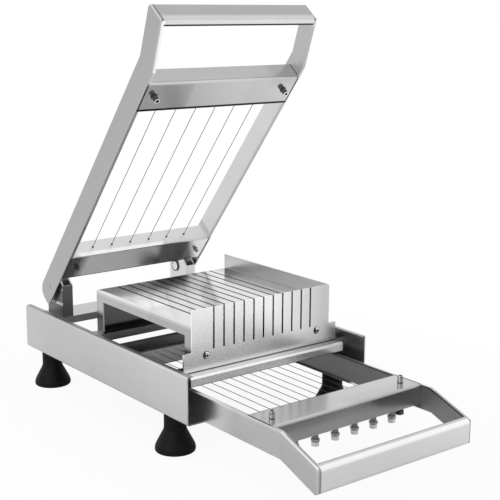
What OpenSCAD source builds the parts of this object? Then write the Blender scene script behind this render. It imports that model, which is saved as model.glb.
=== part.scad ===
// Chocolate guitar cutter. A folded steel bed with parallel slots stands on a base of two
// channel rails. A frame strung with wires swings down on it, so that the wires cut a slab
// and drop into the slots. A second frame, strung closer, is kept turned over on the rails.
// X runs across the wires, Y from the handles back to the hinge, Z up from the table.

/* [Cutting bed] */
// Width of the bed, across the slots
bed_w = 210; // [200:1:230]
// Length of the bed, along the slots
bed_l = 217; // [195:1:240]
// Height of the bed above the cross members that it stands on
bed_h = 56; // [50:1:64]
// Thickness of the bed's sheet
bed_t = 2; // [1.5:0.1:3]
// Depth of the rims along the bed's sides
rim_h = 14.4; // [10:0.1:20]
// Width of the folds that stiffen the sides of the legs
leg_fold_w = 15; // [10:1:25]

/* [Slots] */
// Distance from each side of the bed to the first slot
slot_margin = 30; // [28:0.5:34]
// Width of a slot
slot_w = 1.8; // [1.4:0.1:2.6]
// Depth of the slots below the bed's top
slot_depth = 31.8; // [26:0.1:36]

/* [Fence and slotted plate] */
// Height of the fence and the plate above the bed
guard_h = 19; // [10:0.5:30]
// Thickness of the fence
fence_t = 1.5; // [1:0.1:2]
// Depth by which the fence laps over the bed's rim
fence_lap = 13; // [9:0.5:14]
// Thickness of the slotted plate
plate_t = 2; // [1.5:0.1:3]
// Depth of the lip folded forward along the plate's foot
lip_l = 15; // [8:0.5:25]
// Height of the lip's front
lip_h = 11.5; // [8:0.5:16]

/* [Base] */
// Height of a rail
rail_h = 59; // [56:0.5:70]
// Thickness of the rails' sheet
rail_t = 1.5; // [1.2:0.1:2.5]
// Room between a stored frame and the rail beside it
rail_room = 21; // [20:0.5:30]
// Length of the rails in front of the plate
rail_front = 35.4; // [10:0.2:60]
// Length of the rails behind the hinge
rail_rear = 27.5; // [25:0.5:50]
// Width of the lip along a rail's top
rail_lip_w = 8; // [5:0.5:12]
// Height of the cross members' top above the rails' underside
member_rise = 48.5; // [46:0.5:52]
// Depth of a cross member
member_h = 10; // [9:0.5:10.5]
// Width of the cross members under the bed
member_w = 20; // [18:0.5:30]

/* [Feet] */
// Height of a foot
foot_h = 45.5; // [36:0.5:60]
// Diameter of a foot at its widest
foot_d = 48.8; // [36:0.2:54]
// Diameter of a foot's neck
foot_neck_d = 26.8; // [20:0.2:30]
// Distance from each end of a rail to its foot
foot_inset = 45.5; // [30:0.5:70]

/* [Hinge] */
// Distance from the back of the bed to the hinge pin
hinge_gap = 110.5; // [105:0.5:140]
// Height of the hinge pin above the cross members
hinge_h = 39.5; // [37:0.5:44]
// Diameter of a hinge pin
pin_d = 16; // [12:0.5:18]
// Clearance all round a pin in its notch
pin_clearance = 0.05; // [0.02:0.01:0.1]
// Width of a hinge bracket over both cheeks
bracket_w = 15.4; // [14:0.2:20]
// Thickness of a bracket's sheet
bracket_t = 2; // [1.5:0.1:3]
// Angle at which the front frame is left open
open_angle = 51; // [20:1:75]

/* [Wire frames] */
// Depth of a frame's arms
arm_h = 31; // [29:0.5:33]
// Thickness of a frame's sheet
frame_t = 2; // [1.5:0.1:2.5]
// Width of the flange along a frame's arms, over its sheet
frame_flange_w = 5; // [4:0.5:8]
// Width of a wire bar
bar_w = 44; // [40:0.5:50]
// Depth of a wire bar's flange
bar_drop = 24.5; // [20:0.5:28]
// Slope of the handle
handle_slope = 20; // [10:1:25]
// Length of the handle, along the arms
handle_l = 61; // [50:1:80]
// Width of the flange along the handle's end
handle_flange_w = 8; // [6:0.5:12]
// Outer radius of the handle's corners, seen from the side
handle_r = 5; // [3:0.5:8]
// How far the stored frame's handle stands out in front of the rails
stored_out = 200; // [120:1:230]

/* [Wires] */
// Diameter of a wire
wire_d = 0.8; // [0.4:0.1:1]
// Distance from the frame's wire side to the wires
wire_depth = 13; // [12.8:0.1:14]
// Diameter of a tuning peg
peg_d = 7; // [5:0.5:7]
// Width across the flats of a peg's head
peg_flats = 8; // [7.5:0.5:10]
// Thickness of the bar that holds the pegs
peg_bar_t = 10; // [8:0.5:10.2]

/* [Hidden] */

// How far a cut runs past what it cuts
over = 1;
// Outer radius of a folded edge
fold_r = 3;
// Clearance all round a screw or bolt in its hole
screw_clearance = 0.05;

// Pegs of a frame, and the slots: one for every wire of the closer-strung frame
peg_count = 6;
slot_count = 2 * peg_count - 1;
slot_pitch = (bed_w - 2 * slot_margin) / (slot_count - 1);

// Places down the middle plane, with the plate's front as zero
bed_y0 = plate_t;
bed_y1 = bed_y0 + bed_l;
hinge_y = bed_y1 + hinge_gap;
rail_y0 = -rail_front;
rail_y1 = hinge_y + rail_rear;

// Heights above the table
floor_z = foot_h + rail_t;
member_z = foot_h + member_rise;
bed_z = member_z + bed_h;
slot_z = bed_z - slot_depth;
hinge_z = member_z + hinge_h;
shoulder_z = hinge_z - arm_h / 2;
guard_z = bed_z + guard_h;

// Half widths, from the bed outwards
fence_x = bed_w / 2 + fence_t;
fence_over = 1.5;
frame_gap = 4.5;
flange_x = fence_x + frame_gap;
frame_x = flange_x + frame_flange_w;
arm_x = frame_x - frame_t;
plate_over = 2.5;
plate_low_x = frame_x + plate_over;
rail_x = frame_x + rail_room + rail_t;
rail_in_x = rail_x - rail_t;
rail_floor_over = 2.5;
rail_floor_x = arm_x - rail_floor_over;
bracket_gap = 3.6;
bracket_x = arm_x - bracket_gap;
bracket_in_x = bracket_x - bracket_w;
bracket_mid_x = bracket_x - bracket_w / 2;

// Feet and their screws
foot_x = rail_x - foot_neck_d / 2 - 0.5 * rail_t;
foot_fronts = [rail_y0 + foot_inset, rail_y1 - foot_inset];
foot_screw_d = 6;
foot_screw_head_d = 10;
foot_screw_head_h = 3;
foot_screw_l = 22;

// Lengths along a frame's arm, measured forward from its hinge pin
arm_tail = 24;
near_bar_u = 34;
flange_u = near_bar_u + bar_w;
far_bar_gap = 14.5;
far_bar_u = hinge_y + far_bar_gap;
far_bar_end_u = far_bar_u + bar_w;
handle_gap = 16;
bend_u = far_bar_end_u + handle_gap;
tip_u = bend_u + handle_l;

// Heights in a frame, with the wire side down and the hinge pin as zero
wire_side = -arm_h / 2;
back_side = arm_h / 2;
handle_rise = handle_l * tan(handle_slope);
tip_low = wire_side + handle_rise;
tip_high = tip_low + arm_h;
wire_z = wire_side + wire_depth;
peg_bar_low = wire_side + frame_t;
peg_bar_high = peg_bar_low + peg_bar_t;

// Pegs, and the bar that holds them
peg_pitch = 2 * slot_pitch;
peg_from_end = 17.5;
peg_u = far_bar_end_u - peg_from_end;
peg_bar_w = 24;
peg_seat = 1;
peg_clearance = 0.05;
peg_stand = 25;
short_peg_stand = 17.5;
peg_head_h = 5;
wrap_clearance = 0.3;
wrap_r = peg_d / 2 + wrap_clearance + wire_d / 2;
wrap_lead = 18.5;
wire_bend_r = 15;
wire_hole_d = 2 * wire_d;
wire_stop_d = 3 * wire_d;
wire_stop_l = 3;

// Bolts through the far bar, and screws in the near bar
bolt_inset = 16;
bolt_x = arm_x - bolt_inset;
bolt_d = 7;
bolt_behind_peg = 3;
bolt_u = peg_u - bolt_behind_peg;
bolt_stand = 8.5;
bolt_low = 19;
bolt_head_h = 5;
bolt_flats = 10;
bolt_socket_flats = 4;
bolt_socket_h = 3;
anchor_d = 5;
anchor_stand = 5;
anchor_u = near_bar_u + bar_w / 2;
anchor_nut_h = 4;
anchor_flats = 8;
peg_bar_end = 10;
peg_bar_x = bolt_x + peg_bar_end;

// Hinge pins and the ends by which the arms hold them
pin_over = 1.5;
pin_end_d = 6;
pin_end_stand = 0.3;

// Hinge brackets
bracket_front = 28;
bracket_back = 14.5;
bracket_y0 = hinge_y - bracket_front;
bracket_y1 = hinge_y + bracket_back;
bracket_slope = 12;
bracket_r = 4;
bracket_screw_d = 5;
bracket_screw_head_d = 8;
bracket_screw_head_h = 2.5;
bracket_screw_ys = [bracket_y0 + bracket_slope, bracket_y1 - bracket_screw_head_d];
nut_h = 4;
nut_ratio = 1.6;
rear_member_end = 7;

// Screws of the plate and the fence
plate_screw_d = 5;
plate_screw_head_d = 8;
plate_screw_head_h = 2.5;
plate_screw_dome_r = 5.3;
plate_screw_gap = 11;
plate_screw_x = (slot_count - 1) / 2 * slot_pitch + plate_screw_gap;
plate_screw_drop = 6;
plate_screw_z = shoulder_z - plate_screw_drop;
plate_r = 2;
fence_screw_count = 3;
fence_screw_d = 3;
fence_screw_nut_h = 2.4;

// Stored frame: its pin's place, and the middle of the whole in Y
stored_y = tip_u - rail_front - stored_out;
stored_z = floor_z + arm_h / 2;
plate_y = -(rail_y1 + stored_y - tip_u) / 2;

slot_xs = [for (i = [0:slot_count - 1]) (i - (slot_count - 1) / 2) * slot_pitch];
wide_wire_xs = [for (i = [0:2:slot_count - 1]) slot_xs[i]];
peg_xs = [for (k = [0:peg_count - 1]) slot_xs[slot_count - 1] - slot_pitch / 2 - k * peg_pitch];

// Points of an arc about c, from angle a0 to angle a1
function arc(c, r, a0, a1, n = 6) =
    [for (i = [0:n]) c + r * [cos(a0 + (a1 - a0) * i / n), sin(a0 + (a1 - a0) * i / n)]];

// Outline of an arm seen from the side, as [y, z] with the pin at zero
function arm_points() = concat(
    arc([arm_tail - arm_h / 2, 0], arm_h / 2, 90, 0),
    arc([arm_tail - 2 * fold_r, wire_side + 2 * fold_r], 2 * fold_r, 0, -90, 4),
    [[-bend_u, wire_side]],
    arc(handle_corner(tip_low, 1), handle_r, -90 - handle_slope, -180),
    arc(handle_corner(tip_high, -1), handle_r, 180, 90 - handle_slope),
    [[-bend_u, back_side]]);

// Centre of the round where the handle's end meets an edge at height z, with the sheet upwards or down
function handle_corner(z, up) = [
    handle_r - tip_u,
    z - handle_r * tan(handle_slope) + up * handle_r / cos(handle_slope)];

// Outline of the space between the arms, inside the sheet
function arm_inner_points() = concat(
    [[arm_tail + over, wire_side - over]],
    [[-flange_u, wire_side - over], [-flange_u, wire_side + frame_t]],
    [[frame_t * tan(handle_slope / 2) - bend_u, wire_side + frame_t]],
    arc(handle_corner(tip_low, 1), handle_r - frame_t, -90 - handle_slope, -180),
    [[frame_t - tip_u, tip_high + over], [arm_tail + over, tip_high + over]]);

// Outline of a folded angle: a face along y, and a flange up at its forward end
function angle_points(face, drop, t) = concat(
    [[0, 0]],
    arc([fold_r - face, fold_r], fold_r, -90, -180),
    [[-face, drop], [t - face, drop]],
    arc([fold_r - face, fold_r], fold_r - t, -180, -90),
    [[0, t]]);

// Outline of the right rail, seen from the front
function rail_points() = concat(
    [[rail_x - rail_lip_w, rail_h]],
    arc([rail_x - fold_r, rail_h - fold_r], fold_r, 90, 0),
    arc([rail_x - fold_r, fold_r], fold_r, 0, -90),
    [[rail_floor_x, 0], [rail_floor_x, rail_t]],
    arc([rail_x - fold_r, fold_r], fold_r - rail_t, -90, 0),
    arc([rail_x - fold_r, rail_h - fold_r], fold_r - rail_t, 0, 90),
    [[rail_x - rail_lip_w, rail_h - rail_t]]);

// A shape drawn in Y and Z, as wide as w and centred on the middle plane
module across(w) {
    rotate([90, 0, 90]) translate([0, 0, -w / 2]) linear_extrude(w) children();
}

// A shape drawn in X and Z, from y0 back to y1
module along(y0, y1) {
    translate([0, y1, 0]) rotate([90, 0, 0]) linear_extrude(y1 - y0) children();
}

// A box from corner a to corner b
module block(a, b) {
    translate(a) cube(b - a);
}

// A cut that rounds an outer edge running along Z, for a body in -X and -Y of it
module edge_cut(l, r) {
    translate([-r, -r, 0]) difference() {
        cube([r + over, r + over, l]);
        translate([0, 0, -over]) cylinder(r = r, h = l + 2 * over, $fn = 48);
    }
}

// The same cut, for an edge running back along Y, with the body in -X and +Z of it
module low_edge_cut(l, r) {
    rotate([-90, 0, 0]) edge_cut(l, r);
}

// A hexagon prism, as wide as flats across its flats
module hexagon(flats, h) {
    cylinder(d = flats / cos(30), h = h, $fn = 6);
}

// Both sides of what is drawn on the right
module both_sides() {
    children();
    mirror([1, 0, 0]) children();
}

// The base's own place
module base() {
    translate([0, plate_y, 0]) children();
}

// The open frame's place, hinged at the back
module raised() {
    translate([0, plate_y + hinge_y, hinge_z]) rotate([-open_angle, 0, 0]) children();
}

// The stored frame's place, turned over on the rails
module stored() {
    translate([0, plate_y + stored_y, stored_z]) rotate([0, 180, 0]) children();
}

// Right rail: a channel with a narrow lip above and a wide ledge below
module rail() {
    color("gainsboro") base() difference() {
        along(rail_y0, rail_y1) translate([0, foot_h]) polygon(rail_points());
        for (y = foot_fronts)
            translate([foot_x, y, foot_h - over])
                cylinder(d = foot_screw_d + 2 * screw_clearance, h = rail_t + 2 * over, $fn = 32);
    }
}

// Cross member: an inverted channel from rail to rail
module cross_member(y0, y1) {
    color("silver") base() difference() {
        block([-rail_in_x, y0, member_z - member_h], [rail_in_x, y1, member_z]);
        block([-rail_in_x - over, y0 + bed_t, member_z - member_h - over],
            [rail_in_x + over, y1 - bed_t, member_z - bed_t]);
        children();
    }
}

module front_cross_member() {
    cross_member(bed_y0, bed_y0 + member_w);
}

module middle_cross_member() {
    cross_member(bed_y1 - member_w, bed_y1);
}

module rear_cross_member() {
    cross_member(bracket_y0, rail_y1 - rear_member_end)
        both_sides() bracket_screw_places()
            cylinder(d = bracket_screw_d + 2 * screw_clearance, h = 3 * bed_t, center = true, $fn = 32);
}

// Rubber foot: a bell with a straight neck, turned about its own axis
module foot(side, y) {
    foot_flare_share = 0.13;
    neck_share = 0.75;
    low_z = foot_h * foot_flare_share;
    high_z = foot_h * neck_share;
    steps = 10;
    color("#222222") base() translate([side * foot_x, y, 0]) difference() {
        rotate_extrude($fn = 64) polygon(concat(
            [[0, 0], [foot_d / 2 - fold_r, 0]],
            arc([foot_d / 2 - fold_r, fold_r], fold_r, -90, 0, 4),
            [for (i = [0:steps]) [
                foot_neck_d / 2 + (foot_d - foot_neck_d) / 4 * (1 + cos(180 * i / steps)),
                low_z + (high_z - low_z) * i / steps]],
            [[foot_neck_d / 2, foot_h], [0, foot_h]]));
        translate([0, 0, foot_h - foot_screw_l])
            cylinder(d = foot_screw_d + 2 * screw_clearance, h = foot_screw_l + over, $fn = 32);
    }
}

// Screws down through the rails' ledges into the feet
module foot_screws() {
    color("silver") base() both_sides() for (y = foot_fronts)
        translate([foot_x, y, floor_z]) {
            cylinder(d = foot_screw_head_d, h = foot_screw_head_h, $fn = 32);
            translate([0, 0, -rail_t - foot_screw_l + over])
                cylinder(d = foot_screw_d, h = rail_t + foot_screw_l, $fn = 32);
        }
}

// Cutting bed: one sheet folded down all round, open at the sides between its legs
module cutting_bed() {
    leg_z = bed_z - rim_h;
    color("lightgray") base() difference() {
        block([-bed_w / 2, bed_y0, member_z], [bed_w / 2, bed_y1, bed_z]);
        block([bed_t - bed_w / 2, bed_y0 + bed_t, member_z - over],
            [bed_w / 2 - bed_t, bed_y1 - bed_t, bed_z - bed_t]);
        block([-bed_w, bed_y0 + leg_fold_w, member_z - over], [bed_w, bed_y1 - leg_fold_w, leg_z]);
        for (x = slot_xs)
            block([x - slot_w / 2, bed_y0 - over, slot_z], [x + slot_w / 2, bed_y1 + over, bed_z + over]);
        both_sides() translate([bed_w / 2, bed_y1 + over, bed_z])
            rotate([90, 0, 0]) edge_cut(bed_l + 2 * over, fold_r);
        translate([-bed_w / 2 - over, bed_y1, bed_z])
            rotate([90, 0, 90]) edge_cut(bed_w + 2 * over, fold_r);
        fence_screw_places() cylinder(d = fence_screw_d + 2 * screw_clearance, h = 4 * bed_t, center = true, $fn = 24);
        both_sides() plate_screw_place()
            cylinder(d = plate_screw_d + 2 * screw_clearance, h = 4 * bed_t + plate_t, center = true, $fn = 32);
    }
}

// Fence: a strip lapped over the bed's right rim and standing above the bed
module fence() {
    color("silver") base() difference() {
        block([bed_w / 2, bed_y0, bed_z - fence_lap], [fence_x, bed_y1 + fence_over, guard_z]);
        fence_screw_places() cylinder(d = fence_screw_d + 2 * screw_clearance, h = 4 * bed_t, center = true, $fn = 24);
    }
}

// Places of the fence's screws, with Z out of the fence
module fence_screw_places() {
    for (i = [0:fence_screw_count - 1])
        translate([bed_w / 2, bed_y0 + bed_l * (i + 0.5) / fence_screw_count, bed_z - fence_lap / 2])
            rotate([0, 90, 0]) children();
}

// Screws of the fence, flush outside and with a nut inside the rim
module fence_screws() {
    color("silver") base() fence_screw_places() {
        translate([0, 0, -bed_t - fence_screw_nut_h])
            cylinder(d = fence_screw_d, h = bed_t + fence_screw_nut_h + fence_t, $fn = 24);
        translate([0, 0, -bed_t - fence_screw_nut_h])
            hexagon(nut_ratio * fence_screw_d, fence_screw_nut_h);
    }
}

// Slotted plate: slots open at the top, shoulders that stop the frame, a lip along the foot
module slotted_plate() {
    lip_z = member_z;
    low_z = lip_z - lip_h;
    color("gainsboro") base() difference() {
        union() {
            along(0, plate_t) polygon(concat(
                [[-plate_low_x, low_z], [plate_low_x, low_z], [plate_low_x, shoulder_z]],
                [[fence_x, shoulder_z]],
                arc([fence_x - plate_r, guard_z - plate_r], plate_r, 0, 90, 4),
                arc([plate_r - fence_x, guard_z - plate_r], plate_r, 90, 180, 4),
                [[-fence_x, shoulder_z], [-plate_low_x, shoulder_z]]));
            block([-plate_low_x, -lip_l, low_z], [plate_low_x, plate_t, lip_z]);
        }
        block([plate_t - plate_low_x, plate_t - lip_l, low_z - over],
            [plate_low_x - plate_t, 0, lip_z - plate_t]);
        translate([-plate_low_x - over, -lip_l, lip_z])
            rotate([90, 0, 90]) rotate([0, 0, 90]) edge_cut(2 * (plate_low_x + over), fold_r);
        for (x = slot_xs)
            block([x - slot_w / 2, -over, slot_z], [x + slot_w / 2, plate_t + over, guard_z + over]);
        both_sides() plate_screw_place()
            cylinder(d = plate_screw_d + 2 * screw_clearance, h = 4 * plate_t + bed_t, center = true, $fn = 32);
    }
}

// Place of the plate's right screw, with Z out of the plate's front
module plate_screw_place() {
    translate([plate_screw_x, 0, plate_screw_z]) rotate([90, 0, 0]) children();
}

// Domed screws through the plate into the bed's front leg
module plate_screws() {
    grip = plate_t + bed_t;
    color("silver") base() both_sides() plate_screw_place() {
        intersection() {
            cylinder(d = plate_screw_head_d, h = plate_screw_head_h, $fn = 48);
            translate([0, 0, plate_screw_head_h - plate_screw_dome_r])
                sphere(r = plate_screw_dome_r, $fn = 64);
        }
        translate([0, 0, -grip - nut_h]) cylinder(d = plate_screw_d, h = grip + nut_h, $fn = 32);
        translate([0, 0, -grip - nut_h]) hexagon(nut_ratio * plate_screw_d, nut_h);
    }
}

// Right hinge bracket: two cheeks, notched for the pin, joined by a web and a floor
module hinge_bracket() {
    notch_r = pin_d / 2 + pin_clearance;
    color("silver") base() difference() {
        translate([bracket_mid_x, 0, 0]) across(bracket_w) polygon(concat(
            [[bracket_y1, member_z], [bracket_y0, member_z], [bracket_y0, bed_z - bracket_slope]],
            [[bracket_y0 + bracket_slope, bed_z]],
            arc([bracket_y1 - bracket_r, bed_z - bracket_r], bracket_r, 90, 0, 4)));
        block([bracket_in_x + bracket_t, bracket_y0 + bracket_t, member_z + bracket_t],
            [bracket_x - bracket_t, bracket_y1 + over, bed_z + over]);
        block([bracket_in_x + bracket_t, bracket_y0 - over, bed_z - bracket_slope],
            [bracket_x - bracket_t, bracket_y1 + over, bed_z + over]);
        translate([bracket_in_x - over, hinge_y, hinge_z]) rotate([0, 90, 0])
            cylinder(r = notch_r, h = bracket_w + 2 * over, $fn = 64);
        block([bracket_in_x - over, hinge_y - notch_r, hinge_z],
            [bracket_x + over, hinge_y + notch_r, bed_z + over]);
        bracket_screw_places()
            cylinder(d = bracket_screw_d + 2 * screw_clearance, h = 3 * bracket_t, center = true, $fn = 32);
    }
}

// Places of the right bracket's screws, on the rear cross member
module bracket_screw_places() {
    for (y = bracket_screw_ys) translate([bracket_mid_x, y, member_z]) children();
}

// Screws down through the brackets' floors into the rear cross member
module bracket_screws() {
    grip = bracket_t + bed_t;
    color("silver") base() both_sides() bracket_screw_places() {
        translate([0, 0, bracket_t]) cylinder(d = bracket_screw_head_d, h = bracket_screw_head_h, $fn = 32);
        translate([0, 0, -bed_t - nut_h]) cylinder(d = bracket_screw_d, h = grip + nut_h, $fn = 32);
        translate([0, 0, -bed_t - nut_h]) hexagon(nut_ratio * bracket_screw_d, nut_h);
    }
}

// Wire frame: one strip folded into two arms and a sloping handle, flanged on the wire side
module wire_frame() {
    arm_r = 2;
    bend_r = 4;
    color("gainsboro") difference() {
        across(2 * frame_x) polygon(arm_points());
        across(2 * arm_x) polygon(arm_inner_points());
        block([-flange_x, handle_flange_w - tip_u, wire_side - over],
            [flange_x, over - flange_u, tip_high + over]);
        block([-arm_x, -far_bar_end_u, wire_side - over], [arm_x, -far_bar_u, wire_side + frame_t]);
        both_sides() {
            translate([frame_x, -bend_u, wire_side]) low_edge_cut(bend_u - flange_u, arm_r);
            translate([frame_x, -bend_u, wire_side]) rotate([-handle_slope, 0, 0])
                translate([0, -2 * handle_l, 0]) low_edge_cut(2 * handle_l, arm_r);
            translate([frame_x, -tip_u, wire_side]) rotate([0, 0, -90]) edge_cut(3 * arm_h, bend_r);
            translate([arm_x - over, 0, 0]) rotate([0, 90, 0])
                cylinder(d = pin_end_d + 2 * screw_clearance, h = frame_t + 2 * over, $fn = 32);
        }
    }
}

// Folded bar between the arms, which its flange touches and its face just clears
module wire_bar() {
    face_gap = 1.2;
    difference() {
        across(2 * arm_x) polygon(angle_points(bar_w, bar_drop, frame_t));
        both_sides() block([arm_x - face_gap, fold_r - bar_w, -over], [arm_x + over, over, frame_t + over]);
    }
}

// Wire bar at the hinge end: the wires are held in its flange
module near_bar(xs) {
    color("gray") difference() {
        translate([0, -near_bar_u, wire_side]) wire_bar();
        for (x = xs) translate([x, -flange_u - over, wire_z]) rotate([-90, 0, 0])
            cylinder(d = wire_hole_d, h = frame_t + 2 * over, $fn = 16);
        both_sides() translate([bolt_x, -anchor_u, wire_side - over])
            cylinder(d = anchor_d + 2 * screw_clearance, h = frame_t + 2 * over, $fn = 32);
    }
}

// Wire bar at the handle end, over the pegs
module far_bar() {
    color("gray") difference() {
        translate([0, -far_bar_u, wire_side]) wire_bar();
        both_sides() translate([bolt_x, -bolt_u, wire_side - over])
            cylinder(d = bolt_d + 2 * screw_clearance, h = frame_t + 2 * over, $fn = 32);
    }
}

// Flat bar under the far bar's face, bored for the pegs
module peg_bar() {
    color("silver") difference() {
        block([-peg_bar_x, -peg_u - peg_bar_w / 2, peg_bar_low], [peg_bar_x, peg_bar_w / 2 - peg_u, peg_bar_high]);
        for (x = peg_xs) translate([x, -peg_u, peg_bar_low + peg_seat])
            cylinder(d = peg_d + 2 * peg_clearance, h = peg_bar_t, $fn = 48);
        both_sides() translate([bolt_x, -bolt_u, peg_bar_low - over])
            cylinder(d = bolt_d + 2 * screw_clearance, h = peg_bar_t + 2 * over, $fn = 32);
    }
}

// Bolts through the peg bar and the far bar's face, with a socket in the end that stands out
module bar_bolts() {
    color("silver") both_sides() translate([bolt_x, -bolt_u, 0]) {
        translate([0, 0, wire_side - bolt_stand]) difference() {
            cylinder(d = bolt_d, h = bolt_low - wire_side + bolt_stand, $fn = 48);
            translate([0, 0, -over]) hexagon(bolt_socket_flats, bolt_socket_h + over);
        }
        translate([0, 0, bolt_low]) hexagon(bolt_flats, bolt_head_h);
    }
}

// Screws in the near bar's face, with a nut behind it
module anchor_screws() {
    color("silver") both_sides() translate([bolt_x, -anchor_u, wire_side]) {
        translate([0, 0, -anchor_stand])
            cylinder(d = anchor_d, h = anchor_stand + frame_t + anchor_nut_h, $fn = 32);
        translate([0, 0, frame_t]) hexagon(anchor_flats, anchor_nut_h);
    }
}

// Hinge pins, headed over in the arms
module pivot_pins() {
    color("silver") both_sides() rotate([0, 90, 0]) {
        translate([0, 0, bracket_in_x - pin_over])
            cylinder(d = pin_d, h = arm_x - bracket_in_x + pin_over, $fn = 64);
        translate([0, 0, arm_x - over])
            cylinder(d = pin_end_d, h = frame_t + over + pin_end_stand, $fn = 32);
    }
}

// Tuning peg, with a six-sided head on the back of the frame
module peg(k, stand) {
    color("silver") translate([peg_xs[k - 1], -peg_u, 0]) {
        translate([0, 0, peg_bar_low + peg_seat + peg_clearance])
            cylinder(d = peg_d, h = stand - peg_bar_low - peg_seat - peg_clearance, $fn = 48);
        translate([0, 0, stand]) hexagon(peg_flats, peg_head_h);
    }
}

// Offset of a peg from the centre of the bend that leads a wire to it
function lead_offset() = [wire_bend_r - slot_pitch / 2, -wrap_lead];

// Angle through which a wire bends to meet its peg on a tangent
function lead_angle() =
    asin((wire_bend_r - wrap_r) / norm(lead_offset())) - 90 - atan2(lead_offset()[1], lead_offset()[0]);

// Route of the wire on a peg's right, from behind the near bar, with the peg at zero
function wire_lead() = [
    [slot_pitch / 2, peg_u - flange_u + frame_t + wire_stop_l],
    [slot_pitch / 2, wrap_lead],
    [slot_pitch / 2 - wire_bend_r, wrap_lead] + wire_bend_r * [cos(lead_angle()), -sin(lead_angle())]];

// Half a turn round the handle side of the peg
function wire_turn() = arc([0, 0], wrap_r, -lead_angle(), lead_angle() - 180, 8);

// The same route on a peg's left, walked back
function wire_return() = [for (i = [len(wire_lead()) - 1:-1:0]) [-wire_lead()[i][0], wire_lead()[i][1]]];

// Heading of a route at its point i
function heading(path, i) =
    let (back = path[i] - path[max(i - 1, 0)], on = path[min(i + 1, len(path) - 1)] - path[i],
        way = back / max(norm(back), wire_d / 100) + on / max(norm(on), wire_d / 100))
    way / norm(way);

// Round tube swept along a route that lies flat
module flat_tube(path, r, sides = 8) {
    polyhedron(
        points = [for (i = [0:len(path) - 1]) let (way = heading(path, i)) for (j = [0:sides - 1])
            let (out = r * cos(360 * j / sides))
            [path[i][0] - out * way[1], path[i][1] + out * way[0], r * sin(360 * j / sides)]],
        faces = concat(
            [[for (j = [0:sides - 1]) j]],
            [[for (j = [sides - 1:-1:0]) (len(path) - 1) * sides + j]],
            [for (i = [0:len(path) - 2], j = [0:sides - 1]) let (k = (j + 1) % sides)
                [i * sides + j, (i + 1) * sides + j, (i + 1) * sides + k]],
            [for (i = [0:len(path) - 2], j = [0:sides - 1]) let (k = (j + 1) % sides)
                [i * sides + j, (i + 1) * sides + k, i * sides + k]]));
}

// All the wires of a frame: two wires that flank a peg are one loop round it
module wires(xs) {
    color("dimgray") for (peg_x = peg_xs) translate([peg_x, -peg_u, wire_z]) {
        lone = len([for (x = xs) if (abs(x - peg_x) < slot_pitch) x]) == 1;
        flat_tube(concat(wire_lead(), wire_turn(), lone ? [] : wire_return()), wire_d / 2);
    }
}

// Crimped sleeves that stop the wires behind the near bar
module wire_stops(xs) {
    color("dimgray") for (x = xs) translate([x, frame_t - flange_u, wire_z]) rotate([-90, 0, 0])
        difference() {
            cylinder(d = wire_stop_d, h = wire_stop_l, $fn = 24);
            translate([0, 0, -over]) cylinder(d = wire_d + 2 * screw_clearance, h = wire_stop_l + 2 * over, $fn = 16);
        }
}

mirror([1, 0, 0]) rail();  // rail_left
rail();  // rail_right
front_cross_member();
middle_cross_member();
rear_cross_member();
foot(-1, foot_fronts[0]);  // foot_front_left
foot(1, foot_fronts[0]);  // foot_front_right
foot(-1, foot_fronts[1]);  // foot_rear_left
foot(1, foot_fronts[1]);  // foot_rear_right
foot_screws();
cutting_bed();
fence();
fence_screws();
slotted_plate();
plate_screws();
mirror([1, 0, 0]) hinge_bracket();  // hinge_bracket_left
hinge_bracket();  // hinge_bracket_right
bracket_screws();
raised() wire_frame();  // upper_frame
raised() near_bar(wide_wire_xs);  // upper_near_bar
raised() far_bar();  // upper_far_bar
raised() peg_bar();  // upper_peg_bar
raised() bar_bolts();  // upper_bar_bolts
raised() anchor_screws();  // upper_anchor_screws
raised() pivot_pins();  // upper_pivot_pins
raised() wires(wide_wire_xs);  // upper_wires
raised() wire_stops(wide_wire_xs);  // upper_wire_stops
raised() peg(1, short_peg_stand);  // upper_peg_1
raised() peg(2, short_peg_stand);  // upper_peg_2
raised() peg(3, short_peg_stand);  // upper_peg_3
raised() peg(4, short_peg_stand);  // upper_peg_4
raised() peg(5, short_peg_stand);  // upper_peg_5
raised() peg(6, short_peg_stand);  // upper_peg_6
stored() wire_frame();  // lower_frame
stored() near_bar(slot_xs);  // lower_near_bar
stored() far_bar();  // lower_far_bar
stored() peg_bar();  // lower_peg_bar
stored() bar_bolts();  // lower_bar_bolts
stored() anchor_screws();  // lower_anchor_screws
stored() pivot_pins();  // lower_pivot_pins
stored() wires(slot_xs);  // lower_wires
stored() wire_stops(slot_xs);  // lower_wire_stops
stored() peg(1, peg_stand);  // lower_peg_1
stored() peg(2, peg_stand);  // lower_peg_2
stored() peg(3, peg_stand);  // lower_peg_3
stored() peg(4, peg_stand);  // lower_peg_4
stored() peg(5, peg_stand);  // lower_peg_5
stored() peg(6, peg_stand);  // lower_peg_6
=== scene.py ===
from math import cos, radians, sin

import bmesh
import bpy
from mathutils import Matrix, Vector


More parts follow.
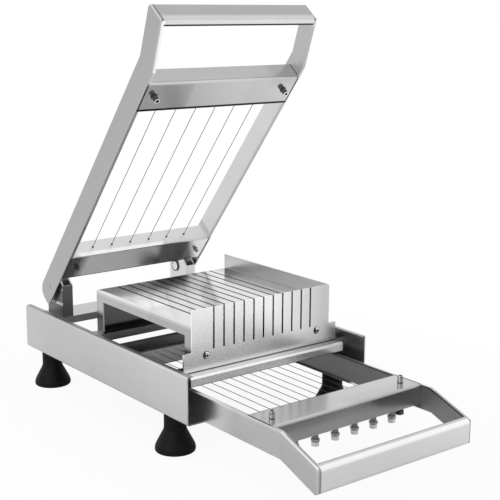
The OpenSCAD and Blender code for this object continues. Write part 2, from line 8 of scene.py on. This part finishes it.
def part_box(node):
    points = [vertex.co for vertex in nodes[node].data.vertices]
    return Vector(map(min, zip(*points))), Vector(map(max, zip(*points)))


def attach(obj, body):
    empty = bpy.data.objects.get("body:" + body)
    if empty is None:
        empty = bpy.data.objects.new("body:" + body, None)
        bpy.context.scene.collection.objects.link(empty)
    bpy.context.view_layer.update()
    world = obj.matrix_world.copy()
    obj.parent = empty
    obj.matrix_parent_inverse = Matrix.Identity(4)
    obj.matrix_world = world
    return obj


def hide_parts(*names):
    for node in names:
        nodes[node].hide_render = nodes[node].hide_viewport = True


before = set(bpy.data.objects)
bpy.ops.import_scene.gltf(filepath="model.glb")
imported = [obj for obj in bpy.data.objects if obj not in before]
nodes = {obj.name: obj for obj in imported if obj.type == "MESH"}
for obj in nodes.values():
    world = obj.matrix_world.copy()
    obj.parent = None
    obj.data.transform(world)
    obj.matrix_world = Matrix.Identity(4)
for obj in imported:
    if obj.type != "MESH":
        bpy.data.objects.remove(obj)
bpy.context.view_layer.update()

# Millimetres in a metre
MM = 1000

# Angle of the raised frame above the bed, in radians, and its hinge pin and the stored frame's
# pins, in metres
OPEN = radians(51)
HINGE = (0, 0.2687, 0.1335)
STORED_PINS = (0, 0.1688, 0.0625)


# Node helpers

def new_material(name):
    """A new material, its empty node tree and the tree's output."""
    mat = bpy.data.materials.new(name)
    mat.use_nodes = True
    tree = mat.node_tree
    tree.nodes.clear()
    return mat, tree, tree.nodes.new("ShaderNodeOutputMaterial")


def add(tree, kind, **values):
    """A node with its properties and unlinked inputs set."""
    node = tree.nodes.new(kind)
    for key, value in values.items():
        if key.startswith("in_"):
            node.inputs[key[3:].replace("_", " ")].default_value = value
        else:
            setattr(node, key, value)
    return node


def feed(tree, node, values):
    """Gives a node's first inputs their values, which are sockets, numbers or vectors."""
    for socket, value in zip(node.inputs, values):
        if isinstance(value, bpy.types.NodeSocket):
            tree.links.new(value, socket)
        else:
            socket.default_value = value
    return node


def calc(tree, operation, *values, clamp=False):
    """The result of a Math node."""
    node = add(tree, "ShaderNodeMath", operation=operation, use_clamp=clamp)
    return feed(tree, node, values).outputs[0]


def vector_calc(tree, operation, *values):
    """The result of a Vector Math node."""
    node = add(tree, "ShaderNodeVectorMath", operation=operation)
    return feed(tree, node, values).outputs["Value" if operation == "LENGTH" else "Vector"]


def split(tree, vector):
    """The X, Y and Z of a vector."""
    return feed(tree, add(tree, "ShaderNodeSeparateXYZ"), (vector,)).outputs


def noise(tree, point, scale, detail, rough):
    """A noise value from 0 to 1."""
    node = add(tree, "ShaderNodeTexNoise", in_Scale=scale, in_Detail=detail, in_Roughness=rough)
    return feed(tree, node, (point,)).outputs["Fac"]


def spread(tree, value, low, high, to_low, to_high):
    """Maps a value from one range to another, clamped."""
    node = add(tree, "ShaderNodeMapRange", clamp=True)
    return feed(tree, node, (value, low, high, to_low, to_high)).outputs[0]


def surface_shader(tree, out, colour, roughness, height, strength, distance, metallic=1.0):
    """A Principled shader with a colour in three levels, a roughness and a fine bump."""
    levels = feed(tree, add(tree, "ShaderNodeCombineColor"), colour)
    bump = add(tree, "ShaderNodeBump", in_Strength=strength, in_Distance=distance)
    tree.links.new(height, bump.inputs["Height"])
    shader = add(tree, "ShaderNodeBsdfPrincipled", in_Metallic=metallic)
    tree.links.new(levels.outputs[0], shader.inputs["Base Color"])
    tree.links.new(roughness, shader.inputs["Roughness"])
    tree.links.new(bump.outputs[0], shader.inputs["Normal"])
    tree.links.new(shader.outputs[0], out.inputs[0])
    return shader


# Zones: places on a piece, in millimetres in its own coordinates, whose steel is lighter or darker:
# slots, holes and drawn marks, and painted shade, highlights and reflections

# How far a ring's edge and a slot's edge fade to each side, in millimetres
RING_FADE = 0.3
SLOT_FADE = 0.1


def own_point(tree, raised):
    """The shaded point in millimetres, on a raised piece from its hinge pin along its arms."""
    point = add(tree, "ShaderNodeTexCoord").outputs["Object"]
    if raised:
        turned_back = add(tree, "ShaderNodeMapping", vector_type="POINT")
        turned_back.inputs["Rotation"].default_value = (OPEN, 0, 0)
        from_pin = vector_calc(tree, "SUBTRACT", point, HINGE)
        point = feed(tree, turned_back, (from_pin,)).outputs[0]
    return vector_calc(tree, "MULTIPLY", point, (MM, MM, MM))


def folded_sides(tree, point):
    """The point with its left half laid over its right half."""
    x, y, z = split(tree, point)
    joined = feed(tree, add(tree, "ShaderNodeCombineXYZ"), (calc(tree, "ABSOLUTE", x), y, z))
    return joined.outputs[0]


def inside(tree, point, low, high, soft):
    """1 inside a box, 0 outside it, with a soft edge."""
    middle = [(a + b) / 2 for a, b in zip(low, high)]
    half = [(b - a) / 2 for a, b in zip(low, high)]
    away = vector_calc(tree, "ABSOLUTE", vector_calc(tree, "SUBTRACT", point, middle))
    x, y, z = split(tree, vector_calc(tree, "SUBTRACT", half, away))
    least = calc(tree, "MINIMUM", calc(tree, "MINIMUM", x, y), z)
    return spread(tree, least, -soft / 2, soft / 2, 0.0, 1.0)


def ring(tree, point, centre, radius, axis):
    """1 within a radius of a line through centre along an axis."""
    keep = {"x": (0, 1, 1), "y": (1, 0, 1), "z": (1, 1, 0)}[axis]
    away = vector_calc(tree, "MULTIPLY", vector_calc(tree, "SUBTRACT", point, centre), keep)
    length = vector_calc(tree, "LENGTH", away)
    return spread(tree, length, radius - RING_FADE, radius + RING_FADE, 1.0, 0.0)


def row(tree, point, first, pitch, half, low, high):
    """1 in the slots or holes that repeat across a piece, inside a box."""
    past_left = calc(tree, "ADD", split(tree, point)[0], 20 * pitch - first)
    away = calc(tree, "PINGPONG", past_left, pitch / 2)
    mask = spread(tree, away, half - SLOT_FADE, half + SLOT_FADE, 1.0, 0.0)
    return calc(tree, "MULTIPLY", mask, inside(tree, point, low, high, 2 * SLOT_FADE))


def zoned(tree, point, level, zones):
    """The level, multiplied in each zone by the zone's factor.

    A zone is ("box", low, high, soft, factor), ("sides", the same on both sides), ("ring", centre,
    radius, axis, factor) on both sides, or ("row", first, pitch, half width, low, high, factor) for
    slots and holes that repeat across the piece.
    """
    both = folded_sides(tree, point)
    masks = {"box": (inside, point), "sides": (inside, both), "ring": (ring, both),
             "row": (row, point)}
    for kind, *measures, factor in zones:
        mask, place = masks[kind]
        share = mask(tree, place, *measures)
        level = calc(tree, "MULTIPLY", level, spread(tree, share, 0.0, 1.0, 1.0, factor))
    return level


# Materials

# Streaks to a millimetre across the brushing and along it
FINE, LONG = 2.6, 0.02
STREAKS = {"x": (LONG, FINE, FINE), "y": (FINE, LONG, FINE), "z": (FINE, FINE, LONG)}

# Folded pieces: the axis, and how far along it the brushing turns, from the first way to the second
FOLDED = {"strip": (0, 112.0, 114.0, "x", "y"), "plate": (1, 61.3, 62.3, "z", "x")}

# How much more blue than red brushed steel has
COOL = 1.008


def streaks(tree, point, along):
    """Fine streaks along one axis, or along two on a folded piece."""
    if along in STREAKS:
        return noise(tree, vector_calc(tree, "MULTIPLY", point, STREAKS[along]), 1.0, 3.0, 0.6)
    axis, low, high, first, second = FOLDED[along]
    distance = calc(tree, "ABSOLUTE", split(tree, point)[axis])
    mix = add(tree, "ShaderNodeMix", data_type="FLOAT")
    tree.links.new(spread(tree, distance, low, high, 0.0, 1.0), mix.inputs[0])
    tree.links.new(streaks(tree, point, first), mix.inputs[2])
    tree.links.new(streaks(tree, point, second), mix.inputs[3])
    return mix.outputs[0]


def brushed(name, tone, rough, along, raised=False, grain=1.0, zones=(), dull=()):
    """Brushed stainless steel: fine streaks along one axis, soft clouds and faint rubbing.

    along is "x", "y" or "z", "strip" for a strip folded round from arm to handle to arm, or "plate"
    for a sheet whose face is brushed along Z and whose lip is brushed along X. zones change the
    tone, with painted shade, highlights and reflections as well as slots, holes and marks, and dull
    the roughness.
    """
    mat, tree, out = new_material(name)
    point = own_point(tree, raised)
    streak = streaks(tree, point, along)
    cloud = noise(tree, point, 0.009, 3.0, 0.55)
    rub = noise(tree, point, 0.06, 4.0, 0.6)

    # Colour: the tone, lighter and darker along the streaks, with broad soft clouds and the zones'
    # marks and painted light and shade
    streaked = spread(tree, streak, 0.3, 0.7, 1 - 0.05 * grain, 1 + 0.05 * grain)
    clouded = spread(tree, cloud, 0.3, 0.7, 0.97, 1.03)
    level = calc(tree, "MULTIPLY", calc(tree, "MULTIPLY", streaked, clouded), tone)
    level = zoned(tree, point, level, zones)

    # Roughness: streaks and faint rubbed patches
    uneven = spread(tree, streak, 0.3, 0.7, -0.04 * grain, 0.04 * grain)
    rubbed = spread(tree, rub, 0.35, 0.7, -0.008, 0.01)
    roughness = calc(tree, "ADD", calc(tree, "ADD", uneven, rubbed), rough, clamp=True)
    roughness = zoned(tree, point, roughness, dull)

    surface_shader(
        tree, out, (level, level, calc(tree, "MULTIPLY", level, COOL)), roughness, streak,
        strength=0.08 * grain, distance=0.00006)
    return mat


def turned(name, tone, rough, raised=False, zones=()):
    """Turned or drawn steel of small fittings: a fine grain and small dark specks."""
    mat, tree, out = new_material(name)
    point = own_point(tree, raised)
    grain = noise(tree, point, 0.9, 3.0, 0.6)
    speck = noise(tree, point, 0.26, 4.0, 0.65)
    level = calc(tree, "MULTIPLY", spread(tree, grain, 0.3, 0.7, 0.92, 1.06), tone)
    level = calc(tree, "MULTIPLY", level, spread(tree, speck, 0.3, 0.45, 0.86, 1.0))
    level = zoned(tree, point, level, zones)
    roughness = calc(tree, "ADD", spread(tree, speck, 0.3, 0.7, 0.05, -0.04), rough, clamp=True)
    surface_shader(
        tree, out, (level, level, level), roughness, grain, strength=0.15, distance=0.00005)
    return mat


def rubber(name):
    """Black moulded rubber: a little bloom, a fine skin, and dust low down."""
    mat, tree, out = new_material(name)
    where = add(tree, "ShaderNodeTexCoord").outputs["Object"]
    skin = noise(tree, where, 700.0, 4.0, 0.6)
    bloom = noise(tree, where, 45.0, 4.0, 0.6)
    dust = spread(tree, split(tree, where)[2], 0.0, 0.006, 0.006, 0.0)
    level = calc(tree, "ADD", spread(tree, bloom, 0.3, 0.75, 0.003, 0.007), dust)
    roughness = spread(tree, bloom, 0.3, 0.75, 0.42, 0.56)
    shader = surface_shader(
        tree, out, (level, level, level), roughness, skin, strength=0.25, distance=0.0001,
        metallic=0.0)
    shader.inputs["Specular IOR Level"].default_value = 0.12
    return mat


# A bound beyond every piece, in millimetres
FAR = 999

look = {
    # Painted shade on the channels' inner sides, and a painted slow fall of light to the back
    "rail": brushed("rail_steel", 0.665, 0.36, "y", zones=[
        ("sides", (-FAR, -FAR, 0), (137.2, FAR, FAR), 0.3, 0.58),
        ("box", (-FAR, 60, 0), (FAR, FAR, FAR), 250, 0.81)]),
    # A painted highlight on the rear member's top
    "member": brushed("member_steel", 0.34, 0.34, "x", zones=[
        ("box", (-FAR, 200, 93.6), (FAR, FAR, FAR), 0.5, 1.5)]),
    # Slots; a painted highlight by the left edge; painted shade on the underside, lower down the
    # sides, in the folds at the front legs and on the rims' outer faces; and painted shade beside
    # the fence
    "bed": brushed("bed_steel", 0.74, 0.15, "y", grain=0.4, zones=[
        ("row", 0, 15, 1.5, (-77, -FAR, 118), (77, FAR, FAR), 0.02),
        ("box", (-102, 40, 110), (-70, 150, FAR), 16, 1.3),
        ("box", (-103.3, -56.9, 0), (103.3, 156.4, 148.1), 0.3, 0.2),
        ("sides", (104.9, -FAR, 0), (FAR, FAR, 143), 9, 0.48),
        ("sides", (104.9, -58.9, 0), (FAR, -57.9, 136), 0.3, 0.25),
        ("box", (84, -FAR, 140), (FAR, FAR, FAR), 6, 0.74),
        ("sides", (104.9, -FAR, 0), (FAR, FAR, FAR), 0.3, 0.73)]),
    "fence": brushed("fence_steel", 0.63, 0.30, "y", grain=0.5),
    # Slots; painted shade to the right, at the foot and round the screws; then painted shade in the
    # lip's crease, a painted highlight on its fold and painted shade on its edge
    "plate": brushed("plate_steel", 0.95, 0.27, "plate", grain=0.1, zones=[
        ("row", 0, 15, 1.2, (-77, -FAR, 118), (77, FAR, FAR), 0.02),
        ("box", (55, -FAR, 0), (FAR, FAR, FAR), 90, 0.58),
        ("box", (-FAR, -FAR, 0), (FAR, FAR, 110), 14, 0.85),
        ("ring", (86, 0, 112), 4.9, "y", 0.1),
        ("box", (-FAR, -62.6, 93.6), (FAR, -60.6, 95.0), 0.6, 0.25),
        ("box", (-FAR, -75.9, 91.4), (FAR, -73.0, FAR), 0.8, 1.15),
        ("box", (-FAR, -FAR, 0), (FAR, -73, 83.3), 0.5, 0.3)]),
    # Painted shade on the left bracket's front and on its outer side, with a painted highlight line
    # across
    "bracket": brushed("bracket_steel", 0.68, 0.30, "z", grain=0.6, zones=[
        ("box", (-FAR, 0, 0), (0, 241.2, FAR), 0.3, 0.28),
        ("box", (-FAR, 0, 0), (-109.9, FAR, 131), 0.6, 0.22),
        ("box", (-FAR, 0, 110), (-109.9, FAR, 114), 0.8, 4.2)]),
    # Painted shade on the outer sides, painted light on the inner sides between the bars, painted
    # shade and a painted highlight on the handle with painted shade in its crease, painted shade
    # and a painted highlight on the left arm's flange, and painted shade at the handle's corners
    "upper_frame": brushed("upper_frame_steel", 0.50, 0.34, "strip", True, 0.6, [
        ("sides", (115.8, -FAR, -FAR), (FAR, FAR, FAR), 0.3, 0.86),
        ("sides", (-FAR, -344, -13.4), (114.3, -84, FAR), 2, 1.46),
        ("sides", (-FAR, -FAR, -FAR), (111.6, -463.5, FAR), 0.6, 0.83),
        ("sides", (-FAR, -FAR, -FAR), (111.6, -456, 13), 5, 1.5),
        ("sides", (-FAR, -458.9, -FAR), (111.3, -456.6, FAR), 0.4, 0.06),
        ("box", (-115, -344, -16), (-110, FAR, -13.3), 0.5, 0.8),
        ("box", (-114.5, -FAR, -16), (-110, -388, 6), 0.5, 1.9),
        ("sides", (112.3, -FAR, -FAR), (114.7, -462.5, FAR), 0.8, 0.35)]),
    # Painted dark reflection bands along the lower edges of both bars, painted shade in the gaps at
    # the bars' ends and on the far bar's side and right, a painted highlight on the near bar's
    # fold, painted reflections and shade across both bars' faces, dark wire holes, and painted
    # shade round the bolts and anchor screws; the near bar's fold is duller
    "upper_bar": brushed("upper_bar_steel", 0.60, 0.17, "x", True, 0.55, [
        ("box", (-FAR, -35.4, -16), (FAR, FAR, -13), 0.5, 0.1),
        ("box", (-FAR, -347.4, -16), (FAR, -343, -13), 0.5, 0.03),
        ("sides", (113.1, -FAR, -13), (FAR, -385.7, FAR), 0.4, 0.08),
        ("sides", (112.0, -FAR, -16), (113, FAR, -13), 0.3, 0.06),
        ("box", (-FAR, -FAR, -13.4), (FAR, -385.7, FAR), 0.5, 0.79),
        ("box", (80, -FAR, -12), (FAR, -385.7, FAR), 30, 0.7),
        ("box", (-FAR, -79, -13.4), (FAR, -75.5, FAR), 0.5, 1.08),
        ("box", (-96, -90, -30), (30, -10, -14.6), 14, 2.1),
        ("box", (-FAR, -75.5, -16.4), (-96, -30, -14.6), 1, 0.22),
        ("box", (-96, -75.5, -16.4), (-91, -30, -14.6), 1, 0.42),
        ("box", (-91, -75.5, -16.4), (-86, -30, -14.6), 1, 0.7),
        ("box", (80, -75.5, -16.4), (FAR, -30, -14.6), 1, 1.75),
        ("box", (-FAR, -382, -16), (-48, -340, -13), 10, 0.72),
        ("box", (-45, -382, -16), (35, -340, -13), 20, 1.13),
        ("row", 15, 30, 1.5, (-80, -79, -4.0), (80, -75, -1.0), 0.04),
        ("ring", (98, -367.5, 0), 4.6, "z", 0.2),
        ("ring", (98, -56, 0), 3.6, "z", 0.2)], [
        ("box", (-FAR, -79, -13.4), (FAR, -75.5, FAR), 0.5, 2.2)]),
    # Painted shade below the flanges, a painted highlight on the handle's fold, painted shade on
    # the outer sides, painted light on the handle's face and flange with painted shade in its
    # creases, painted light on the left arm near the rail, and painted shade at the handle's
    # corners
    "lower_frame": brushed("lower_frame_steel", 0.58, 0.32, "strip", False, 0.6, [
        ("box", (-114.3, -FAR, 0), (114.3, FAR, 75.9), 0.3, 0.72),
        ("box", (-FAR, -297.4, 53), (FAR, -291.2, 61), 3, 1.17),
        ("sides", (115.8, -FAR, 0), (FAR, -236, FAR), 10, 0.92),
        ("sides", (-FAR, -FAR, 0), (112, -288.7, FAR), 0.6, 1.85),
        ("sides", (-FAR, -292, 56), (112, FAR, FAR), 1, 0.72),
        ("sides", (-FAR, -288.8, 0), (111.3, -287.8, FAR), 0.2, 0.5),
        ("sides", (110.7, -287, 45), (111.4, FAR, FAR), 0.2, 0.4),
        ("box", (-FAR, -135, -FAR), (-80, -85, FAR), 40, 1.45),
        ("sides", (112.3, -FAR, 0), (114.7, -293.7, FAR), 0.8, 0.75)]),
    # Painted shade on the far bar's front, darker to the right, then on the near bar; a dark line
    # along the free edge, and painted shade in the gaps at the ends of both bars
    "lower_bar": brushed("lower_bar_steel", 0.55, 0.18, "x", grain=0.3, zones=[
        ("box", (-FAR, -FAR, 0), (FAR, -218.9, 76.5), 1.5, 0.5),
        ("box", (20, -FAR, 0), (FAR, -218.9, 76.5), 60, 0.7),
        ("box", (-FAR, 0, 0), (FAR, FAR, FAR), 0.3, 0.85),
        ("box", (-FAR, -176.3, 75), (FAR, -174, FAR), 0.5, 0.06),
        ("sides", (112.0, -FAR, 75), (113, FAR, FAR), 0.3, 0.06)]),
    "wire": turned("wire_steel", 0.06, 0.40),
    "fitting": turned("fitting_steel", 0.54, 0.10),
    "collar": turned("collar_steel", 0.36, 0.22),
    "anchor_screw": turned("anchor_screw_steel", 0.20, 0.14),
    # The cross in each head, and a shaded left rim
    "plate_screw": turned("plate_screw_steel", 0.85, 0.10, False, [
        ("sides", (85.3, -FAR, 109.4), (86.7, FAR, 114.6), 0.5, 0.04),
        ("sides", (83.4, -FAR, 111.3), (88.6, FAR, 112.7), 0.5, 0.04),
        ("box", (-91, -FAR, 107), (-87.6, FAR, 117), 1, 0.08),
        ("box", (80, -FAR, 107), (84.4, FAR, 117), 1, 0.08)]),
    # A painted highlight in the middle within a rim of painted shade, and painted shade on the
    # outer ends
    "pin": turned("pin_steel", 0.06, 0.20, False, [
        ("ring", (0, 268.7, 133.5), 6.3, "x", 12.0),
        ("sides", (115.6, 0, 0), (FAR, FAR, FAR), 0.3, 0.6)]),
    # A dark tone of painted reflection, painted highlights on the ends, and dark sockets
    "upper_bolt": turned("upper_bolt_steel", 0.12, 0.16, True, [
        ("box", (-FAR, -FAR, -30), (FAR, FAR, -23.2), 0.2, 8.0),
        ("ring", (98, -367.5, 0), 2.2, "z", 0.02)]),
    # Painted highlights on the ends, and painted shade at the feet
    "lower_bolt": turned("lower_bolt_steel", 0.42, 0.10, False, [
        ("box", (-FAR, -FAR, 86.2), (FAR, FAR, FAR), 0.2, 1.6),
        ("box", (-FAR, -FAR, 0), (FAR, FAR, 79), 1.5, 0.2)]),
    # Painted shade above the heads
    "lower_peg": turned("peg_steel", 0.80, 0.26, False, [
        ("box", (-FAR, -FAR, 37.4), (FAR, FAR, FAR), 0.4, 0.25)]),
    "rubber": rubber("black_rubber"),
}

# The look for each ending of a node's name; the first that fits is taken
LOOK_BY_ENDING = (
    ("wires", "wire"), ("wire_stops", "wire"), ("plate_screws", "plate_screw"),
    ("anchor_screws", "anchor_screw"), ("screws", "fitting"),
    ("upper_bar_bolts", "upper_bolt"), ("lower_bar_bolts", "lower_bolt"), ("pins", "pin"),
    ("cross_member", "member"), ("cutting_bed", "bed"), ("fence", "fence"),
    ("slotted_plate", "plate"),
)
LOOK_BY_START = (("foot_", "rubber"), ("rail_", "rail"), ("hinge_bracket", "bracket"))


def look_of(node):
    """The name of the look that a CAD node takes."""
    for ending, name in LOOK_BY_ENDING:
        if node.endswith(ending):
            return name
    for start, name in LOOK_BY_START:
        if node.startswith(start):
            return name
    side = node.split("_")[0]
    if "_peg_" in node and not node.endswith("bar"):
        return "lower_peg" if side == "lower" else "fitting"
    return side + ("_frame" if node.endswith("_frame") else "_bar")


for name, piece in nodes.items():
    piece.data.materials.clear()
    piece.data.materials.append(look[look_of(name)])


# Turned and six-sided pieces, built from rows of points

def circle(middle, radius, sides):
    """The points of a level ring, in metres."""
    return [
        Vector((
            middle[0] + radius * cos(radians(360 * k / sides)),
            middle[1] + radius * sin(radians(360 * k / sides)),
            middle[2]))
        for k in range(sides)]


def stacked(name, rows, smooth, material):
    """A closed piece with a band of faces from each row of points to the next, and a cap each end.

    smooth says of each band whether it is shaded as round.
    """
    shape = bmesh.new()
    rings = [[shape.verts.new(point) for point in points] for points in rows]
    for low, high, is_round in zip(rings, rings[1:], smooth):
        for k in range(len(low)):
            after = (k + 1) % len(low)
            face = shape.faces.new((low[k], low[after], high[after], high[k]))
            face.smooth = is_round
    shape.faces.new(rings[0][::-1])
    shape.faces.new(rings[-1])
    bmesh.ops.recalc_face_normals(shape, faces=shape.faces)
    for edge in shape.edges:
        edge.smooth = all(face.smooth for face in edge.link_faces)
    mesh = bpy.data.meshes.new(name)
    shape.to_mesh(mesh)
    shape.free()
    mesh.materials.append(material)
    piece = bpy.data.objects.new(name, mesh)
    bpy.context.scene.collection.objects.link(piece)
    return piece


# Feet: turned rubber bells, a straight cone between the neck and a low rounded rim, bored for
# their screws. Each pair is a radius and a height, in millimetres

FOOT_SIDES = 96
FOOT_PROFILE = (
    (22.6, 0), (23.4, 0.3), (24.05, 1.0), (24.4, 2.2), (24.4, 3.8), (24.2, 5.3), (23.8, 6.8),
    (23.1, 8.5), (22.1, 10.6), (19.6, 15.4), (17.0, 20.4), (15.0, 24.2), (14.2, 25.9),
    (13.7, 27.3), (13.45, 29.0), (13.4, 31.0), (13.4, 45.5), (3.05, 45.5), (3.05, 23.5))
FOOT_SMOOTH = [low[1] != high[1] for low, high in zip(FOOT_PROFILE, FOOT_PROFILE[1:])]

for end in ("front", "rear"):
    for side in ("left", "right"):
        node = f"foot_{end}_{side}"
        low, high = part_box(node)
        x, y = (low[0] + high[0]) / 2, (low[1] + high[1]) / 2
        rows = [circle((x, y, height / MM), radius / MM, FOOT_SIDES)
                for radius, height in FOOT_PROFILE]
        piece = stacked(node + "_bell", rows, FOOT_SMOOTH, look["rubber"])
        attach(piece, "base")
        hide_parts(node)


# Chamfered six-sided collars on the tuning pegs, above their heads, in metres

COLLAR_RADIUS = 0.0054
COLLAR_HEIGHT = 0.0039

# Each pair is a share of the height and a share of the radius
COLLAR_PROFILE = ((0, 0.86), (0.12, 1), (0.82, 1), (1, 0.80))

PEG_COUNT = 6
FIRST_PEG, PEG_PITCH = 0.0675, 0.03
PEG_ROW = -0.3705

lean = Matrix.Rotation(-OPEN, 3, "X")
flip = Matrix.Rotation(radians(180), 3, "Y")
for k in range(PEG_COUNT):
    for side, turn, pin, stand in (
        ("upper", lean, Vector(HINGE), 0.0174),
        ("lower", flip, Vector(STORED_PINS), 0.0249),
    ):
        across = FIRST_PEG - PEG_PITCH * k
        foot = pin + turn @ Vector((across, PEG_ROW, stand - COLLAR_HEIGHT))
        rows = [
            [foot + turn @ point
             for point in circle((0, 0, share * COLLAR_HEIGHT), size * COLLAR_RADIUS, 6)]
            for share, size in COLLAR_PROFILE]
        piece = stacked(f"{side}_peg_collar_{k + 1}", rows, (False,) * 3, look["collar"])
        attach(piece, f"{side}_peg_{k + 1}_body")


# Camera, fitted to the photograph's straight edges; its angles in radians, its place in metres

AZIMUTH, TILT, ROLL = -0.6635, 0.2150, 0.004873
CAMERA_PLACE = (-0.8273, -1.0916, 0.5159)

data = bpy.data.cameras.new("camera")
data.sensor_width = 36
data.lens = 81.07
camera = bpy.data.objects.new("camera", data)
bpy.context.scene.collection.objects.link(camera)
back = Vector((sin(AZIMUTH) * cos(TILT), -cos(AZIMUTH) * cos(TILT), sin(TILT)))
right = Vector((cos(AZIMUTH), sin(AZIMUTH), 0))
up = right.cross(-back)
right_rolled = cos(ROLL) * right + sin(ROLL) * up
up_rolled = -sin(ROLL) * right + cos(ROLL) * up
place = Matrix((right_rolled, up_rolled, back)).transposed().to_4x4()
place.translation = CAMERA_PLACE
camera.matrix_world = place
bpy.context.scene.camera = camera


# Floor, world and lamps

WHITE = (1, 1, 1, 1)
PAPER = (0.86, 0.86, 0.86, 1)
FLOOR_RADIUS = 14
FILL_STRENGTH = 0.55


def mirrored_rays(tree, path):
    """1 for glossy and transmission rays."""
    glossy, through = path.outputs["Is Glossy Ray"], path.outputs["Is Transmission Ray"]
    return calc(tree, "MAXIMUM", glossy, through)


def seen_plain(tree):
    """1 for rays that show the background: camera, glossy and transmission."""
    path = add(tree, "ShaderNodeLightPath")
    return calc(tree, "MAXIMUM", path.outputs["Is Camera Ray"], mirrored_rays(tree, path))


def floor_glow(tree):
    """How plain white the floor shows: shaded under the object, plain white away from it."""
    where = add(tree, "ShaderNodeTexCoord").outputs["Object"]
    away = vector_calc(tree, "LENGTH", vector_calc(tree, "MULTIPLY", where, (1.7, 1.0, 0.0)))
    path = add(tree, "ShaderNodeLightPath")
    direct = spread(tree, away, 0.3, 0.9, 0.93, 1.0)
    mirrored = spread(tree, away, 0.28, 0.75, 0.0, 1.0)
    seen = calc(tree, "MULTIPLY", path.outputs["Is Camera Ray"], direct)
    other = calc(tree, "MULTIPLY", mirrored_rays(tree, path), mirrored)
    return calc(tree, "ADD", seen, other, clamp=True)


def mixed(tree, out, share, first, second):
    """Shows the first shader, and the second where the share is 1."""
    mix = feed(tree, add(tree, "ShaderNodeMixShader"), (share, first.outputs[0], second.outputs[0]))
    tree.links.new(mix.outputs[0], out.inputs[0])


bpy.ops.mesh.primitive_circle_add(
    vertices=96, radius=FLOOR_RADIUS, fill_type="NGON", location=(0, 0, 0))
floor = bpy.context.object
floor.name = "floor"
mat, tree, out = new_material("floor_paper")
mixed(
    tree, out, floor_glow(tree),
    add(tree, "ShaderNodeBsdfDiffuse", in_Color=PAPER),
    add(tree, "ShaderNodeEmission", in_Color=WHITE, in_Strength=1.0))
floor.data.materials.append(mat)

world = bpy.data.worlds.new("studio")
bpy.context.scene.world = world
world.use_nodes = True
tree = world.node_tree
tree.nodes.clear()
mixed(
    tree, tree.nodes.new("ShaderNodeOutputWorld"), seen_plain(tree),
    add(tree, "ShaderNodeBackground", in_Color=WHITE, in_Strength=FILL_STRENGTH),
    add(tree, "ShaderNodeBackground", in_Color=WHITE, in_Strength=1.0))


def lamp(name, place, aim, side, power):
    """A soft square lamp that looks at a point."""
    data = bpy.data.lights.new(name, "AREA")
    data.shape = "RECTANGLE"
    data.size = data.size_y = side
    data.energy = power
    obj = bpy.data.objects.new(name, data)
    bpy.context.scene.collection.objects.link(obj)
    obj.location = place
    obj.rotation_euler = (Vector(aim) - Vector(place)).to_track_quat("-Z", "Y").to_euler()


lamp("top_softbox", (-0.55, 0.1, 2.4), (0, 0, 0.15), 2.6, 14)
lamp("left_softbox", (-2.2, -0.5, 1.2), (0, 0, 0.2), 1.8, 12)

bpy.context.scene.view_settings.view_transform = "Standard"
